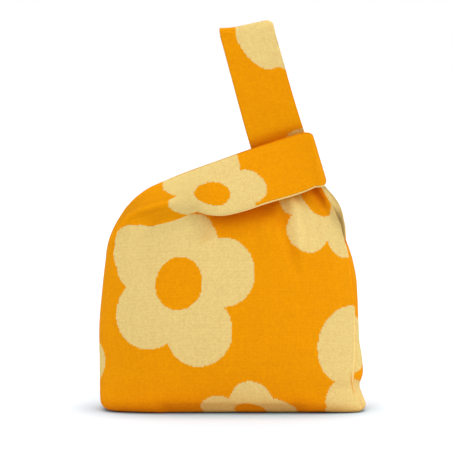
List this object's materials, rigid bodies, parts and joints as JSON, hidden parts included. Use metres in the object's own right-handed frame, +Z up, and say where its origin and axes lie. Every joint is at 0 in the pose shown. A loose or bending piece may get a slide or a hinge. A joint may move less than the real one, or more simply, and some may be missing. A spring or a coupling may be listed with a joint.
{
  "type": "knot bag",
  "caption": "Soft knitted knot bag standing full on its base, its long handle loop drawn up through the short loop that is bent across the front.",
  "frame": {"origin": "on the surface that the bag stands on, under the middle of its width and depth", "axes": "+Z up, +X to the right seen from the front, and the front faces -Y"},
  "size_m": [0.247, 0.09, 0.3607],
  "materials": {
    "knit": "soft matt double knit, orange with large cream flowers, and the two colours swapped on its inside"
  },
  "bodies": {
    "root": {"front_panel": "knit", "back_panel": "knit"}
  },
  "joints": []
}
